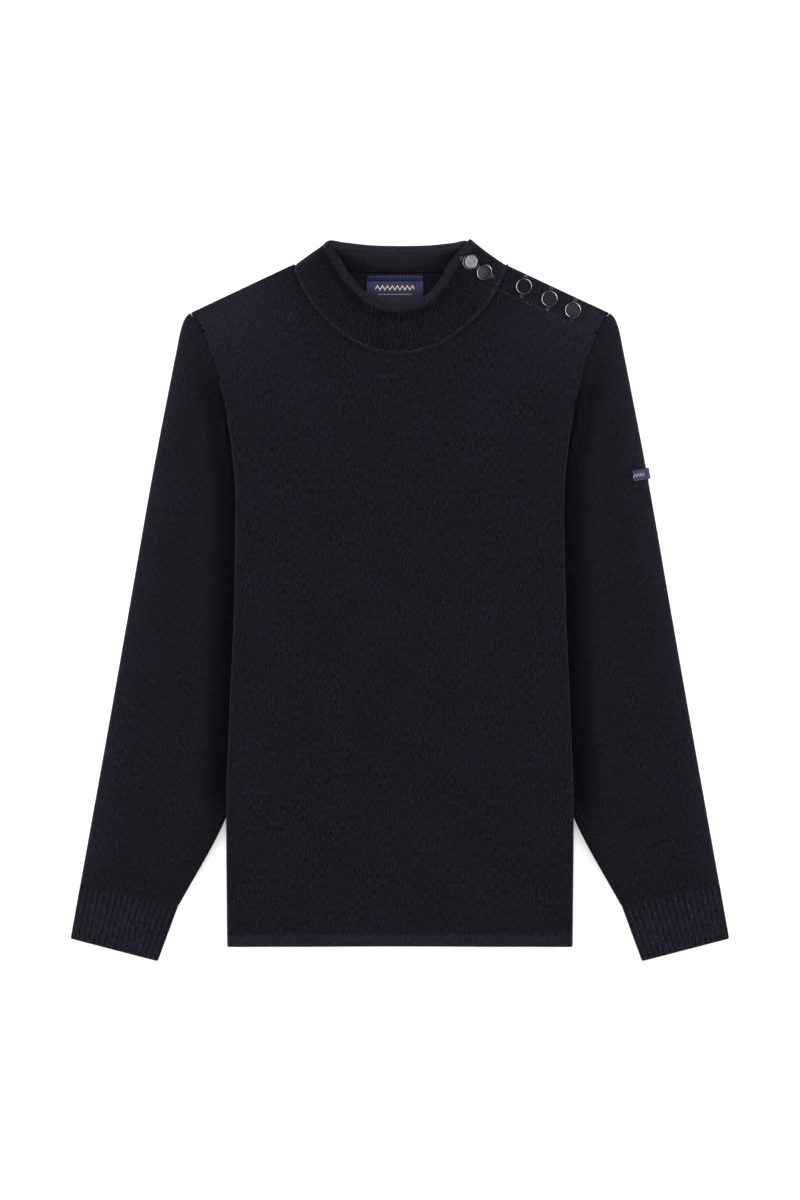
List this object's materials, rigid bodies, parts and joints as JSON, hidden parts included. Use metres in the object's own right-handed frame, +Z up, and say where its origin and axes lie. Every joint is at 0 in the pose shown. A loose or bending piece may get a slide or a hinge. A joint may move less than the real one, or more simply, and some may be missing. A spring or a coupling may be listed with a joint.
{
  "type": "sailor sweater",
  "caption": "Long-sleeved navy wool sailor sweater laid flat, with a ribbed stand collar that buttons along the shoulder, ribbed cuffs and sides turned under",
  "frame": {"origin": "on the surface that the sweater lies on, under the middle of its box", "axes": "+Z up from that surface, +Y from the hem to the collar, +X to the wearer's left"},
  "size_m": [0.6554, 0.7184, 0.0448],
  "materials": {
    "navy_wool": "felted knitted wool, dark navy, soft short nap",
    "rib_wool": "ribbed knitted wool, dark navy",
    "button_metal": "dark satin metal",
    "woven_label": "woven ribbon, navy and ochre"
  },
  "bodies": {
    "root": {"front_panel": "navy_wool", "back_panel": "navy_wool", "button_stand": "navy_wool", "left_sleeve": "navy_wool", "right_sleeve": "navy_wool", "left_cuff": "rib_wool", "right_cuff": "rib_wool", "collar": "rib_wool", "button_1": "button_metal", "button_2": "button_metal", "button_3": "button_metal", "button_4": "button_metal", "button_5": "button_metal", "neck_label": "woven_label", "sleeve_label": "woven_label"}
  },
  "joints": []
}
